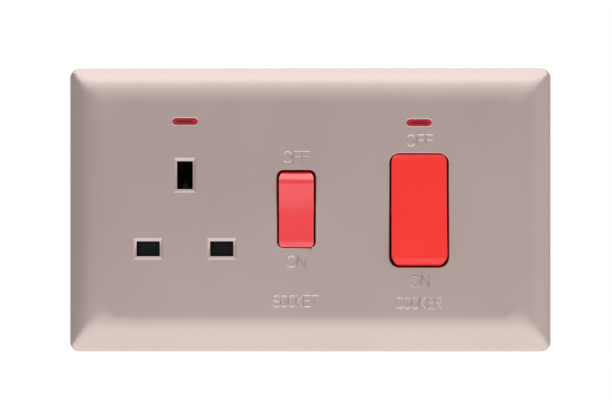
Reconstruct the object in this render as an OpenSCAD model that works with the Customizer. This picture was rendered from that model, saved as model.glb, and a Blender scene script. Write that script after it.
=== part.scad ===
// Cooker control unit: a twin wall plate with a switched socket and a large cooker switch.
// Millimetres. +X is right and +Z is up seen from the front, and the front faces -Y.
// The origin is midway between the two fixing holes, in the plane of the wall (Y = 0).

/* [Face plate] */
// Width of the plate, left to right
plate_width = 146; // [142:0.5:150]
// Height of the plate
plate_height = 86; // [83:0.5:90]
// Distance from the wall to the plate's flat face
plate_depth = 8.5; // [8.5:0.1:12]
// Corner radius seen from the front
plate_corner = 3; // [1:0.1:6]
// Wall thickness of the plate
plate_wall = 2; // [1.5:0.1:2]
// Width of the curved border around the flat face
border_width = 11.5; // [8:0.5:13]
// Height of the straight edge under the curved border
edge_height = 3; // [2.6:0.1:4]
// Gap between the back edge of the plate and the wall
plate_lift = 0.2; // [0.1:0.1:0.5]
// Width of the notch under the bottom edge for prying the plate off
notch_width = 10; // [6:1:20]
// Height of that notch off the wall
notch_height = 1.2; // [0.8:0.1:2]

/* [Socket apertures] */
// Centre of the socket, left of the plate's centre
socket_x = -37.85; // [-40:0.05:-37]
// Height of the line and neutral row
pin_row_z = -11.7; // [-12.5:0.1:-11]
// Distance between the line and neutral pins
pin_spacing = 22.2; // [22:0.1:22.4]
// Height of the earth pin above that row
earth_rise = 22.2; // [22:0.1:22.4]
// Width of a line or neutral aperture
slot_width = 6.95; // [6.8:0.05:7.4]
// Height of a line or neutral aperture
slot_height = 4.45; // [4.3:0.05:4.8]
// Width of the earth aperture
earth_width = 4.65; // [4.4:0.05:5]
// Height of the earth aperture
earth_height = 8.4; // [8.3:0.1:8.8]
// Width of the bevel around each aperture
aperture_bevel = 1.05; // [0.5:0.05:1.4]
// Depth of that bevel
aperture_bevel_depth = 0.6; // [0.4:0.05:1]

/* [Socket rocker] */
// Centre of the socket's rocker across the plate
small_x = -4.25; // [-5:0.05:-4]
// Centre of the socket's rocker up the plate
small_z = 0.25; // [-1:0.05:1]
// Width of the opening in the plate
small_opening_width = 11.4; // [11.3:0.1:12]
// Height of the opening in the plate
small_opening_height = 23.4; // [23:0.1:24]
// Corner radius of the opening
small_opening_corner = 1.9; // [1:0.1:3]
// Width of the rocker
small_width = 10.5; // [10:0.05:10.7]
// Distance from the pivot to the rocker's front edge
small_rise = 5.2; // [4.8:0.1:5.4]
// Depth of the hollow across the rocker's face
small_dish = 0.8; // [0.3:0.1:1]
// Tilt of the rocker either side of level, in degrees
small_tilt = 6.5; // [5:0.5:6.5]
// Radius of the sprung plunger
small_plunger = 1.6; // [1.4:0.1:1.8]

/* [Cooker rocker] */
// Centre of the cooker rocker across the plate
large_x = 32.75; // [32:0.05:34]
// Centre of the cooker rocker up the plate
large_z = -0.05; // [-1:0.05:1]
// Width of the opening in the plate
large_opening_width = 17.7; // [17.5:0.05:18.4]
// Height of the opening in the plate
large_opening_height = 34.25; // [34:0.05:35]
// Corner radius of the opening
large_opening_corner = 2.9; // [1.5:0.1:4]
// Width of the rocker
large_width = 16.7; // [16:0.05:16.9]
// Distance from the pivot to the rocker's front edge
large_rise = 5.8; // [5.4:0.1:6]
// Depth of the hollow across the rocker's face
large_dish = 1.1; // [0.4:0.1:1.4]
// Tilt of the rocker either side of level, in degrees
large_tilt = 6; // [5:0.5:6]
// Radius of each sprung plunger
large_plunger = 1.8; // [1.6:0.1:2]
// Distance of each pole from the rocker's centre
pole_offset = 5.2; // [5:0.1:5.4]

/* [Indicator lenses] */
// Height of the socket lens on the plate
socket_lens_z = 26.7; // [26:0.05:27.5]
// Height of the cooker lens on the plate
cooker_lens_z = 26.35; // [26:0.05:27.5]
// Length of a lens
lens_width = 7.1; // [6:0.1:8]
// Height of a lens
lens_height = 1.75; // [1.5:0.05:2.2]
// Width of the bevel around a lens
lens_bevel = 0.55; // [0.3:0.05:0.8]
// Depth of that bevel
lens_bevel_depth = 0.35; // [0.3:0.05:0.6]

/* [Mounting frame] */
// Gap between the frame and the side walls of the plate
frame_gap = 1.3; // [0.8:0.1:2.5]
// Thickness of the frame's flange
frame_thickness = 2.5; // [2.4:0.1:2.6]
// Distance between the two fixing holes
fixing_spacing = 120.6; // [120:0.1:121]
// Radius of each fixing hole
fixing_radius = 2; // [1.8:0.05:2.2]
// Height of the boss around each fixing hole
fixing_boss = 1.8; // [1:0.1:2.5]
// Depth of the seat for the two rear housings
seat_depth = 0.6; // [0.4:0.1:0.8]
// Radius of a rocker's pivot pins
pivot_radius = 1.25; // [1.1:0.05:1.3]
// Distance from the wall to the rockers' pivots
pivot_depth = 4.5; // [4.4:0.1:4.6]

/* [Shutter] */
// Thickness of the shutter
shutter_thickness = 2.2; // [1.8:0.1:2.2]
// Distance the shutter slides down to clear the apertures
shutter_travel = 5.6; // [5.5:0.1:6]
// Width of the wedge that the earth pin pushes
wedge_width = 1.6; // [1.2:0.1:2.4]

/* [Contacts] */
// Tilt of a switch blade either side of level, in degrees
blade_tilt = 10; // [9:0.5:10]
// Thickness of the pressed brass strips
strip = 1; // [0.8:0.1:1]
// Gap between the two leaves that grip a pin
leaf_gap = 3.5; // [3.2:0.1:3.8]
// Radius of the cable bores in the four main terminals
bore_radius = 3.1; // [2.8:0.1:3.2]
// Radius of the cable bore in the earth terminal
earth_bore_radius = 2.6; // [2.4:0.1:2.8]
// Width of a main terminal block
block_width = 9; // [8.5:0.1:9.5]
// Height of a main terminal block
block_height = 10; // [9:0.5:10]
// Distance of the main terminals from the rocker's centre
block_offset = 16; // [15.5:0.1:16.2]
// Depth of a main terminal block
block_depth = 10; // [9.6:0.1:11]

/* [Rear housings] */
// Depth of the socket's housing behind the wall
socket_base_depth = 20.6; // [20:0.1:22]
// Wall thickness of both housings
base_wall = 1.8; // [1.6:0.1:1.8]

/* [Hidden] */
$fn = 64;
// Running clearance of every pin in its hole
run = 0.05;
// Clearance of pieces that lie side by side
side = 0.1;
face_y = -plate_depth;
back_y = face_y + plate_wall;
border_drop = plate_depth - edge_height;
border_radius = (border_width * border_width + border_drop * border_drop) / (2 * border_drop);
// Slanting arc that rounds the border's corners: its width against the border's, and its height at the face
corner_spread = 1.75;
corner_lift = 0.15;
line_x = socket_x + pin_spacing / 2;
neutral_x = socket_x - pin_spacing / 2;
earth_z = pin_row_z + earth_rise;
// Front of the walls that the frame raises behind the plate
tower_y = back_y + 0.2;
frame_width = plate_width - 2 * (plate_wall + frame_gap);
frame_height = plate_height - 2 * (plate_wall + frame_gap);
// Clearance of a rocker's rounded ends in the opening, and the pivot's distance behind the plate
rocker_gap = 0.15;
// Corners of the rockers, and the bevel at their ends
small_corner = 2.2;
small_bevel = 1.7;
small_bevel_drop = 1.5;
large_corner = 3.4;
large_bevel = 1.4;
large_bevel_drop = 1.1;
pivot_behind = -pivot_depth - back_y;
boss_back = tower_y + 1.4;
shutter_front = boss_back + side;
shutter_back = shutter_front + shutter_thickness;
deck_front = shutter_back + side;
deck_back = -seat_depth - side;
bay_half = 15.6;
bay_bottom = -23.6;
bay_top = 18.6;
// Shutter: reach past the pins, width of its middle, and where its wedge starts and ends
shutter_lap = 2.8;
shutter_foot = -16;
shutter_middle = 6.6;
shutter_tongue = 2;
wedge_foot = 5;
wedge_top = 12;
wedge_back = 0.8;
tower_wall = 1.2;
bearing_wall = 1.6;
seat_half_z = 29.5;
// Socket housing outline
left_x = -55.5;
middle_x = 8.5;
socket_base_half = 27;
// Cooker housing outline
right_x = 55.5;
cooker_base_left = 9.5;
base_corner = 2.3;
lug_x = 52;
lug_half = 7.2;
// Wall across each housing's mouth, behind a rocker
baffle_front = -0.4;
baffle_back = 0.8;
stem_swing = 0.9;
post_radius = 2.6;
// Places of the housing screws in X and Z
post_inset = 4;
socket_post_z = socket_base_half - post_inset;
socket_posts = [[-51.4, socket_post_z], [-25.2, socket_post_z], [-19, -socket_post_z], [4.4, -socket_post_z]];
cooker_posts = [[13.6, 5], [13.6, -5], [48.6, 5], [48.6, -5]];
base_screw = 1.4;
lamp_y = back_y + 2.4;
lamp_radius = 1.4;
lamp_half = 3.7;
lead_radius = 0.35;
lead_z = 22.6;
lead_drop = 5.6;
lead_setback = 2.2;
rib_half = 0.7;
rib_end = 30;
// Depths in the socket housing, set off from its back
clip_setback = 7.6;
link_setback = 5.6;
neutral_setback = 9.6;
earth_setback = 4.6;
earth_block_setback = 10.6;
earth_bore_setback = 6.8;
clip_front = 1.2;
earth_front = 7.5;
clip_back = socket_base_depth - clip_setback;
link_y = socket_base_depth - link_setback;
neutral_link_y = socket_base_depth - neutral_setback;
earth_back = socket_base_depth - earth_setback;
// Stems that carry the plungers
small_stem = 2.6;
large_stem = 2.8;
// Blades: distance of the face in front of the pivot, and the play at the plunger's tip
tip_play = 0.15;
small_blade_front = 1.55;
small_blade_setback = 11;
small_blade_y = socket_base_depth - small_blade_setback;
small_reach = small_blade_y + pivot_depth - small_blade_front - tip_play;
small_contact_z = 10;
large_blade_front = 1.8;
trunnion = 1;
// Depths in the cooker housing, stacked behind the strip that feeds it
feed_gap = 0.2;
contact_step = 1.1;
bracket_step = 1.8;
large_blade_step = 2.75;
bore_margin = 1.7;
block_front = link_y + strip + feed_gap;
block_back = block_front + block_depth;
cooker_base_depth = block_back + base_wall;
contact_y = block_front + contact_step;
bracket_y = block_front + bracket_step;
large_blade_y = block_front - large_blade_step;
large_reach = large_blade_y + pivot_depth - large_blade_front - tip_play;
large_contact_z = 12;
bore_y = block_front + bore_radius + bore_margin;
block_inner = 15.5;
block_end_gap = 0.7;
cooker_base_half = block_inner + block_height + block_end_gap + base_wall;
main_screw = 2.5;
earth_block_x = -13.5;
earth_block_width = 8;
earth_block_bottom = 15.9;
earth_block_top = socket_base_half - base_wall - 0.2;
earth_block_front = socket_base_depth - earth_block_setback;
earth_bore_y = socket_base_depth - earth_bore_setback;
earth_screw_radius = 2;
earth_screw_z = (earth_block_bottom + earth_block_top) / 2;
// Strips that run along the foot of both housings
link_top = -17;
link_bottom = -20;
link_slot = 0.8;
strip_half = 2;
clip_half = 3.2;
leaf = 0.8;

// Block between two corners
module block(x0, x1, y0, y1, z0, z1) {
    translate([x0, y0, z0]) cube([x1 - x0, y1 - y0, z1 - z0]);
}

// Extrudes an outline drawn in X and Z from y0 to y1
module along_y(y0, y1) {
    translate([0, y1, 0]) rotate([90, 0, 0]) linear_extrude(y1 - y0) children();
}

// Extrudes an outline drawn in Y and Z from x0 to x1
module along_x(x0, x1) {
    translate([x0, 0, 0]) rotate([90, 0, 90]) linear_extrude(x1 - x0) children();
}

// Round bar along Y
module bar_y(radius, y0, y1, x = 0, z = 0) {
    translate([x, y1, z]) rotate([90, 0, 0]) cylinder(r = radius, h = y1 - y0);
}

// Round bar along X
module bar_x(radius, x0, x1, y = 0, z = 0) {
    translate([x0, y, z]) rotate([0, 90, 0]) cylinder(r = radius, h = x1 - x0);
}

// Round bar along Z
module bar_z(radius, z0, z1, x = 0, y = 0) {
    translate([x, y, z0]) cylinder(r = radius, h = z1 - z0);
}

module rounded(width, height, radius) {
    square([width - 2 * radius, height], center = true);
    square([width, height - 2 * radius], center = true);
    for (x = [-1, 1], z = [-1, 1])
        translate([x * (width / 2 - radius), z * (height / 2 - radius)]) circle(radius);
}

module pill(width, height) {
    square([width - height, height], center = true);
    for (x = [-1, 1]) translate([x * (width - height) / 2, 0]) circle(height / 2);
}

// Cross-section of the plate: flat face with an arc at each end, drawn in depth and length
module border_section(length, inset) {
    reach = length / 2 - inset;
    flat = length / 2 - border_width;
    intersection() {
        translate([face_y + inset, -reach]) square([plate_depth - inset, 2 * reach]);
        union() {
            translate([face_y + inset, -flat]) square([plate_depth - inset, 2 * flat]);
            for (s = [-1, 1])
                translate([face_y + border_radius, s * flat]) circle(border_radius - inset, $fn = 180);
        }
    }
}

// The plate's outer form, or its hollow when inset by the wall
module pillow(inset) {
    intersection() {
        along_x(-plate_width / 2, plate_width / 2) border_section(plate_height, inset);
        translate([0, 0, -plate_height / 2]) linear_extrude(plate_height)
            rotate(90) mirror([0, 1]) border_section(plate_width, inset);
        along_y(face_y - 1, 1)
            rounded(plate_width - 2 * inset, plate_height - 2 * inset, plate_corner - inset / 2);
    }
}

// Arc across the diagonal that rounds two opposite corners of the border off
module corner_cut(turn) {
    reach = (plate_width + plate_height - 4 * plate_corner) / 2 * sin(45) + plate_corner;
    width = border_width * corner_spread;
    drop = border_drop + corner_lift;
    radius = (width * width + drop * drop) / (2 * drop);
    for (half_turn = [0, 180]) rotate([0, turn + half_turn, 0]) along_x(-plate_width, plate_width) difference() {
        translate([face_y - 1, reach - width]) square([plate_depth + 2, width + 6]);
        translate([face_y - corner_lift + radius, reach - width]) circle(radius, $fn = 180);
    }
}

// Four-sided cut that narrows from the face to the aperture
module bevelled_cut(x, z, width, height) {
    slope = aperture_bevel / aperture_bevel_depth;
    out = aperture_bevel + slope;
    floor_y = face_y + aperture_bevel_depth;
    translate([x, 0, z]) {
        block(-width / 2, width / 2, face_y - 1, back_y + 1, -height / 2, height / 2);
        intersection() {
            along_x(-width, width) polygon([[face_y - 1, height / 2 + out], [floor_y, height / 2],
                [floor_y, -height / 2], [face_y - 1, -height / 2 - out]]);
            translate([0, 0, -height]) linear_extrude(2 * height)
                polygon([[width / 2 + out, face_y - 1], [width / 2, floor_y],
                    [-width / 2, floor_y], [-width / 2 - out, face_y - 1]]);
        }
    }
}

// Pill-shaped cut with a bevelled rim
module lens_cut(x, z) {
    half = (lens_width - lens_height) / 2;
    r = lens_height / 2;
    out = lens_bevel * (1 + 0.5 / lens_bevel_depth);
    floor_y = face_y + lens_bevel_depth;
    translate([x, 0, z]) {
        along_y(face_y - 1, back_y + 1) pill(lens_width + 2 * run, lens_height + 2 * run);
        for (s = [-1, 1]) translate([s * half, floor_y, 0]) rotate([90, 0, 0])
            cylinder(r1 = r + run, r2 = r + run + out, h = lens_bevel_depth + 0.5);
        along_x(-half, half) polygon([[floor_y, r + run], [face_y - 0.5, r + run + out],
            [face_y - 0.5, -r - run - out], [floor_y, -r - run]]);
    }
}

module opening(x, z, width, height, corner, y0, y1) {
    translate([x, 0, z]) along_y(y0, y1) rounded(width, height, corner);
}

// Coil spring along Z from z = 0, made of half turns
module coil(radius, wire, turns, pitch) {
    tilt = asin(pitch / 4 / radius);
    for (i = [0 : 2 * turns - 1])
        translate([0, 0, wire + (i + 0.5) * pitch / 2]) rotate([0, 0, 180 * i]) rotate([0, tilt, 0])
            rotate_extrude(angle = 180, $fn = 32) translate([radius, 0]) circle(wire, $fn = 16);
}

// Pillar terminal block with its cable bore along Z and its screw hole from behind
module pillar(x, width, y0, y1, z0, z1, bore, bore_centre, screw) {
    difference() {
        block(x - width / 2, x + width / 2, y0, y1, z0, z1);
        bar_z(bore, z0 - 1, z1 + 1, x, bore_centre);
        bar_y(screw + run, bore_centre, y1 + 1, x, (z0 + z1) / 2);
    }
}

// Headless slotted screw along Y
module grub_screw(x, z, radius, y0, y1) {
    difference() {
        bar_y(radius, y0, y1, x, z);
        block(x - radius - 1, x + radius + 1, y1 - 1.2, y1 + 1, z - 0.4, z + 0.4);
    }
}

module face_plate() color("tan") difference() {
    union() {
        difference() {
            difference() {
                pillow(0);
                corner_cut(45);
                corner_cut(-45);
            }
            pillow(plate_wall);
            block(-plate_width, plate_width, -plate_lift, 1, -plate_height, plate_height);
        }
        for (s = [-1, 1]) {
            for (x = [-39, 39])
                block(x - 6, x + 6, -frame_thickness, -plate_lift - 0.3,
                    s > 0 ? frame_height / 2 + run : -plate_height / 2 + plate_wall - 0.5,
                    s > 0 ? plate_height / 2 - plate_wall + 0.5 : -frame_height / 2 - run);
            block(s > 0 ? frame_width / 2 + run : -plate_width / 2 + plate_wall - 0.5,
                s > 0 ? plate_width / 2 - plate_wall + 0.5 : -frame_width / 2 - run,
                -frame_thickness, -plate_lift - 0.3, -6, 6);
        }
    }
    bevelled_cut(neutral_x, pin_row_z, slot_width, slot_height);
    bevelled_cut(line_x, pin_row_z, slot_width, slot_height);
    bevelled_cut(socket_x, earth_z, earth_width, earth_height);
    opening(small_x, small_z, small_opening_width, small_opening_height, small_opening_corner,
        face_y - 1, back_y + 1);
    opening(large_x, large_z, large_opening_width, large_opening_height, large_opening_corner,
        face_y - 1, back_y + 1);
    lens_cut(socket_x, socket_lens_z);
    lens_cut(large_x, cooker_lens_z);
    block(-notch_width / 2, notch_width / 2, -notch_height, 1, -plate_height, -plate_height / 2 + plate_wall + 0.1);
}

// Lens bar with the rear flange that seats behind the plate
module lens(x, z) translate([x, 0, z]) {
    along_y(face_y + lens_bevel_depth - 0.15, back_y + 0.1) pill(lens_width, lens_height);
    along_y(back_y, back_y + 0.8) pill(lens_width + 2.4, lens_height + 2.4);
}

module socket_lens() color("firebrick") lens(socket_x, socket_lens_z);
module cooker_lens() color("firebrick") lens(large_x, cooker_lens_z);

// Walls of a rocker bay with the pivot holes
module bay_walls(x, z, width, height) translate([x, 0, z])
    along_y(tower_y, -seat_depth) square([width + 2 * bearing_wall, height + 0.6 + 2 * tower_wall], center = true);

module bay_hole(x, z, width, height) translate([x, 0, z]) {
    along_y(tower_y - 1, 1) square([width, height + 0.6], center = true);
    bar_x(pivot_radius + run, -width / 2 - bearing_wall - 0.5, width / 2 + bearing_wall + 0.5, -pivot_depth);
}

// Trough that carries an indicator lamp
module lamp_cradle(x, z) difference() {
    block(x - 7, x + 7, lamp_y - 0.4, -frame_thickness + 0.1, z - 2.6, z + 2.6);
    bar_x(lamp_radius + run, x - 8, x + 8, lamp_y, z);
    block(x - 8, x + 8, lamp_y - 1, lamp_y, z - lamp_radius - side, z + lamp_radius + side);
    block(x - 5.2, x + 5.2, lamp_y - 2, lamp_y + 0.6, z - 3, z + 3);
    for (s = [-1, 1])
        block(x + s * lead_drop - 0.6, x + s * lead_drop + 0.6, lamp_y - 1, lamp_y + 0.6, z - 3, z);
}

module lead_holes(x) for (s = [-1, 1])
    bar_y(lead_radius + 0.25, -frame_thickness - 3, 1, x + s * lead_drop, lead_z);

module mounting_frame() color("dimgray") difference() {
    union() {
        along_y(-frame_thickness, 0) rounded(frame_width, frame_height, 2);
        for (s = [-1, 1])
            bar_y(5, -frame_thickness - fixing_boss, -0.1, s * fixing_spacing / 2, 0);
        block(socket_x - bay_half - tower_wall, socket_x + bay_half + tower_wall, tower_y, -seat_depth,
            bay_bottom - tower_wall, bay_top + tower_wall);
        bay_walls(small_x, small_z, small_opening_width, small_opening_height);
        bay_walls(large_x, large_z, large_opening_width, large_opening_height);
        lamp_cradle(socket_x, socket_lens_z);
        lamp_cradle(large_x, cooker_lens_z);
        for (s = [-1, 1]) {
            z = s * (frame_height / 2 - 4.2);
            x = s * (frame_width / 2 - 3.1);
            block(-frame_width / 2 + 7.7, frame_width / 2 - 7.7, -frame_thickness - 1.8, -0.1,
                z - rib_half, z + rib_half);
            block(x - rib_half, x + rib_half, -frame_thickness - 1.2, -0.1, -rib_end, rib_end);
        }
        for (x = [-16.6, 14.2]) block(x - rib_half, x + rib_half, -frame_thickness - 1.8, -0.1, -rib_end, rib_end);
    }
    // Seat for the rear housings
    block(left_x - side, right_x + side, -seat_depth, 1, -seat_half_z, seat_half_z);
    // Shutter bay and the three pin holes in its front
    block(socket_x - bay_half, socket_x + bay_half, boss_back, 1, bay_bottom, bay_top);
    for (x = [neutral_x, line_x])
        block(x - slot_width / 2 - 0.3, x + slot_width / 2 + 0.3, tower_y - 1, boss_back + 1,
            pin_row_z - slot_height / 2 - 0.3, pin_row_z + slot_height / 2 + 0.3);
    block(socket_x - earth_width / 2 - 0.3, socket_x + earth_width / 2 + 0.3, tower_y - 1, boss_back + 1,
        earth_z - earth_height / 2 - 0.3, earth_z + earth_height / 2 + 0.3);
    // Pocket of the shutter's spring
    block(socket_x - 1.9, socket_x + 1.9, boss_back - 0.6, boss_back + 1, bay_bottom, pin_row_z - 2);
    bay_hole(small_x, small_z, small_opening_width, small_opening_height);
    bay_hole(large_x, large_z, large_opening_width, large_opening_height);
    for (s = [-1, 1]) {
        bar_y(fixing_radius, -frame_thickness - fixing_boss - 1, 1, s * fixing_spacing / 2, 0);
        bar_y(3.8, -frame_thickness - fixing_boss - 1, -frame_thickness, s * fixing_spacing / 2, 0);
    }
    lead_holes(socket_x);
    lead_holes(large_x);
    for (p = socket_posts) bar_y(base_screw + run, -frame_thickness - 3, 1, p[0], p[1]);
    for (p = cooker_posts) bar_y(base_screw + run, -frame_thickness - 3, 1, p[0], p[1]);
}

module shutter_deck() color("black") difference() {
    block(socket_x - bay_half + side, socket_x + bay_half - side, deck_front, deck_back,
        bay_bottom + side, bay_top - side);
    for (x = [neutral_x, line_x])
        block(x - 4, x + 4, deck_front - 1, deck_back + 1, pin_row_z - 2.8, pin_row_z + 2.8);
    block(socket_x - 2.6, socket_x + 2.6, deck_front - 1, deck_back + 1, earth_z - 4.6, earth_z + 4.6);
    block(socket_x - wedge_width / 2 - 0.4, socket_x + wedge_width / 2 + 0.4, deck_front - 1,
        deck_back + 1, -2, earth_z);
    block(socket_x - 2.2, socket_x + 2.2, deck_front - 1, deck_back + 1, bay_bottom - 1, -15.6);
}

module shutter() color("darkslategray") {
    block(socket_x - bay_half + 3 * side, socket_x + bay_half - 3 * side, shutter_front, shutter_back,
        pin_row_z - shutter_lap - 0.6, pin_row_z + shutter_lap);
    block(socket_x - shutter_middle, socket_x + shutter_middle, shutter_front, shutter_back, shutter_foot,
        shutter_tongue);
    block(socket_x - shutter_tongue, socket_x + shutter_tongue, shutter_front, shutter_back, 1, wedge_foot + 0.6);
    along_x(socket_x - wedge_width / 2, socket_x + wedge_width / 2)
        polygon([[shutter_front, wedge_foot], [shutter_front, wedge_foot + 2.8], [shutter_front + 1, wedge_foot + 3],
            [wedge_back, wedge_top], [wedge_back, wedge_foot]]);
}

module shutter_spring() color("silver")
    translate([socket_x, (shutter_front + shutter_back) / 2, bay_bottom]) coil(1.3, 0.16, 5, 1.45);

// Outline of a rear housing, inset by the wall for its inside
module base_outline(x0, x1, half, lug, inset) difference() {
    translate([(x0 + x1) / 2, 0]) rounded(x1 - x0 - 2 * inset, 2 * (half - inset), base_corner - inset);
    translate([lug < 0 ? lug - 20 : lug, 0])
        translate([lug < 0 ? inset : -inset, -lug_half - inset]) square([20, 2 * (lug_half + inset)]);
}

module socket_base() color("gray") difference() {
    union() {
        difference() {
            along_y(-seat_depth, socket_base_depth)
                base_outline(left_x, middle_x, socket_base_half, -lug_x, 0);
            along_y(-seat_depth - 1, socket_base_depth - base_wall)
                base_outline(left_x, middle_x, socket_base_half, -lug_x, base_wall);
        }
        for (p = socket_posts) bar_y(post_radius, -seat_depth, socket_base_depth - 1, p[0], p[1]);
        for (x = [neutral_x, line_x])
            block(x - 2.5, x + 2.5, clip_back + strip, socket_base_depth - 1, pin_row_z - 2, pin_row_z + 2);
        block(socket_x - 2.5, socket_x + 2.5, earth_back + strip, socket_base_depth - 1, earth_z - 3, earth_z + 3);
        block(small_x - 3, small_x + 3, link_y + strip, socket_base_depth - 1, small_z - 2, small_z + 2);
        block(small_x - 3, small_x + 3, clip_back + strip, socket_base_depth - 1,
            small_contact_z - 1.4, small_contact_z + 1.4);
        block(small_x - small_opening_width / 2 - 2, middle_x - 1, baffle_front, baffle_back,
            -small_opening_height / 2 - 1, small_opening_height / 2 + 1.6);
    }
    block(small_x - small_stem - 0.4, small_x + small_stem + 0.4, baffle_front - 1, baffle_back + 1,
        small_z - small_stem - stem_swing, small_z + small_stem + stem_swing);
    for (p = socket_posts) {
        bar_y(base_screw + run, -seat_depth - 1, socket_base_depth + 1, p[0], p[1]);
        bar_y(2.4, socket_base_depth - 1.4, socket_base_depth + 1, p[0], p[1]);
    }
    bar_z(earth_bore_radius + 1, socket_base_half - base_wall - 1, socket_base_half + 1, earth_block_x, earth_bore_y);
    bar_y(earth_screw_radius + 0.6, socket_base_depth - base_wall - 1, socket_base_depth + 1, earth_block_x,
        earth_screw_z);
    block(middle_x - base_wall - 1, middle_x + 1, neutral_link_y - link_slot, link_y + strip + link_slot,
        link_bottom - link_slot, link_top + link_slot);
}

module cooker_base() color("gray") difference() {
    union() {
        difference() {
            along_y(-seat_depth, cooker_base_depth)
                base_outline(cooker_base_left, right_x, cooker_base_half, lug_x, 0);
            along_y(-seat_depth - 1, cooker_base_depth - base_wall)
                base_outline(cooker_base_left, right_x, cooker_base_half, lug_x, base_wall);
        }
        for (p = cooker_posts) bar_y(post_radius, -seat_depth, cooker_base_depth - 1, p[0], p[1]);
        block(large_x - 0.6, large_x + 0.6, 6, cooker_base_depth - 1, -cooker_base_half + 1, cooker_base_half - 1);
        for (s = [-1, 1])
            block(large_x + s * pole_offset - 2.5, large_x + s * pole_offset + 2.5, bracket_y + strip,
                cooker_base_depth - 1, large_z - 2, large_z + 2);
        block(cooker_base_left + 1, lug_x - 1, baffle_front, baffle_back,
            -large_opening_height / 2 - 1, large_opening_height / 2 + 1);
    }
    for (s = [-1, 1])
        block(large_x + s * pole_offset - large_stem - 0.4, large_x + s * pole_offset + large_stem + 0.4,
            baffle_front - 1, baffle_back + 1, large_z - large_stem - stem_swing, large_z + large_stem + stem_swing);
    for (p = cooker_posts) {
        bar_y(base_screw + run, -seat_depth - 1, cooker_base_depth + 1, p[0], p[1]);
        bar_y(2.4, cooker_base_depth - 1.4, cooker_base_depth + 1, p[0], p[1]);
    }
    for (s = [-1, 1], t = [-1, 1]) {
        x = large_x + s * block_offset;
        z = t * (block_inner + block_height / 2);
        bar_z(bore_radius + 1, t > 0 ? cooker_base_half - base_wall - 1 : -cooker_base_half - 1,
            t > 0 ? cooker_base_half + 1 : -cooker_base_half + base_wall + 1, x, bore_y);
        bar_y(main_screw + 0.7, cooker_base_depth - base_wall - 1, cooker_base_depth + 1, x, z);
    }
    block(cooker_base_left - 1, cooker_base_left + base_wall + 1, neutral_link_y - link_slot,
        link_y + strip + link_slot, link_bottom - link_slot, link_top + link_slot);
    block(large_x - 2, large_x + 2, neutral_link_y - link_slot, neutral_link_y + strip + link_slot,
        link_bottom - link_slot, link_top + link_slot);
}

// Pan-head screw from behind, with its cross slot
module base_fastener(p, y1) difference() {
    union() {
        bar_y(base_screw, -frame_thickness + 0.2, y1 - 1, p[0], p[1]);
        bar_y(2.2, y1 - 1.4, y1 - 0.2, p[0], p[1]);
    }
    block(p[0] - 1.4, p[0] + 1.4, y1 - 0.9, y1 + 1, p[1] - 0.3, p[1] + 0.3);
    block(p[0] - 0.3, p[0] + 0.3, y1 - 0.9, y1 + 1, p[1] - 1.4, p[1] + 1.4);
}

module socket_base_screws() color("silver") for (p = socket_posts) base_fastener(p, socket_base_depth);
module cooker_base_screws() color("silver") for (p = cooker_posts) base_fastener(p, cooker_base_depth);

// Rocker about its pivot, level, with the front towards -Y. Its ends are arcs about the pivot.
module rocker(width, opening_height, rise, dish, corner, stems, stem_radius, plunger, bevel, edge) {
    back = 2;
    reach = sqrt(pow(opening_height / 2 - rocker_gap, 2) + pivot_behind * pivot_behind);
    half = sqrt(reach * reach - (rise - edge) * (rise - edge));
    face = half - bevel;
    top = face + 1.6 * bevel;
    dish_radius = (face * face + dish * dish) / (2 * dish);
    difference() {
        union() {
            intersection() {
                along_x(-width / 2, width / 2) difference() {
                    intersection() {
                        polygon([[-rise, -face], [-rise, face], [-rise + 1.6 * edge, top], [back - 0.9, top],
                            [back, reach - 1], [back, 1 - reach], [back - 0.9, -top], [-rise + 1.6 * edge, -top]]);
                        circle(reach, $fn = 240);
                    }
                    translate([-rise + dish - dish_radius, 0]) circle(dish_radius, $fn = 240);
                }
                along_y(-rise - 1, 3) rounded(width, 2 * reach + 0.3, corner);
            }
            for (x = stems) bar_y(stem_radius, -rise + dish + 0.8, 6, x, 0);
            bar_x(pivot_radius, -width / 2 - 1.7, width / 2 + 1.7);
        }
        difference() {
            block(-width / 2 + 1.3, width / 2 - 1.3, -rise + dish + 1.6, 3, -half + 2.2, half - 2.2);
            for (x = stems) bar_y(stem_radius, -rise, 6, x, 0);
            bar_x(pivot_radius, -width, width);
            block(-width, width, -rise, 3, -0.5, 0.5);
        }
        for (x = stems) bar_y(plunger + run, -rise + dish + 2, 7, x, 0);
    }
}

module seat_small(angle = small_tilt) translate([small_x, -pivot_depth, small_z]) rotate([angle, 0, 0]) children();
module seat_large(angle = -large_tilt) translate([large_x, -pivot_depth, large_z]) rotate([angle, 0, 0]) children();

module socket_rocker() color("tomato") seat_small()
    rocker(small_width, small_opening_height, small_rise, small_dish, small_corner, [0], small_stem,
        small_plunger, small_bevel, small_bevel_drop);

module cooker_rocker() color("red") seat_large()
    rocker(large_width, large_opening_height, large_rise, large_dish, large_corner, [-pole_offset, pole_offset],
        large_stem, large_plunger, large_bevel, large_bevel_drop);

// Plunger with a round tip at the given reach
module plunger(radius, reach, tail, x) {
    bar_y(radius, tail, reach - radius, x, 0);
    translate([x, reach - radius, 0]) sphere(radius);
}

module plunger_spring(x, y0, length, radius)
    translate([x, y0, 0]) rotate([-90, 0, 0]) coil(radius, 0.22, 5, (length - 0.44) / 5);

small_tail = 2;
large_tail = 2.4;
small_seat = -small_rise + small_dish + 2;
large_seat = -large_rise + large_dish + 2;

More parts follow.
